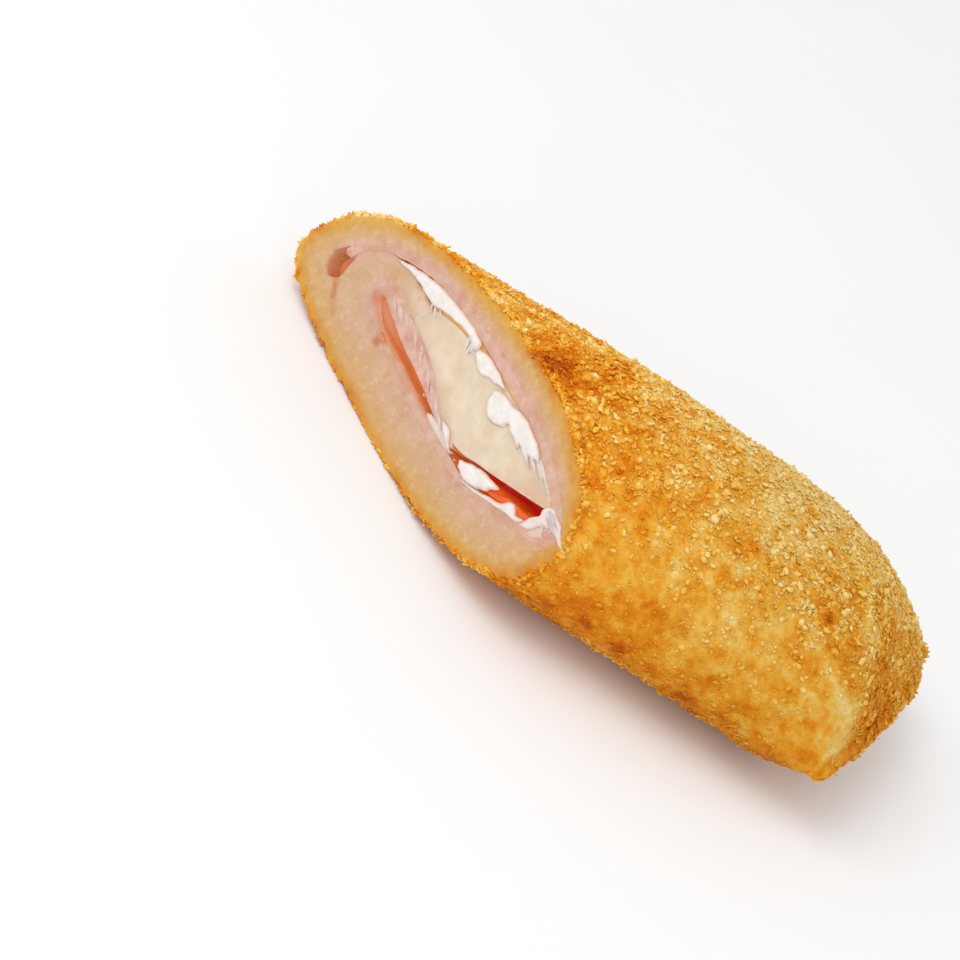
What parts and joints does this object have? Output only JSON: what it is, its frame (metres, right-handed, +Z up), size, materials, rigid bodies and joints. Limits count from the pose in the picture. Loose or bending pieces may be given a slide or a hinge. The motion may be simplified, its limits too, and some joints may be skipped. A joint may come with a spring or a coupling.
{
  "type": "ham and cheese roll",
  "caption": "Half of a breaded, fried dough roll, cut on a slant to show its spiral of dough and ham round a slab of cheese and runny cheese, with a pinched closed end.",
  "frame": {"origin": "on the resting plane under the middle of the roll's bounding box", "axes": "+X along the roll from the slanted cut to the pinched closed end, +Y across it to the far side, where the cut runs to its long tip, +Z up from the flat side it rests on"},
  "size_m": [0.1147, 0.049, 0.03],
  "materials": {
    "wrapper": "golden breadcrumb crust, dry and grainy, over pale tan cooked dough with a tight crumb",
    "ham": "moist pink cooked ham, thin and slightly see-through at its edges",
    "cheese": "smooth pale cream cheese slab, softly shining",
    "melted_cheese": "runny white cheese, wet and shiny"
  },
  "bodies": {
    "root": {"wrapper": "wrapper", "ham": "ham", "cheese": "cheese", "melted_cheese": "melted_cheese"}
  },
  "joints": []
}
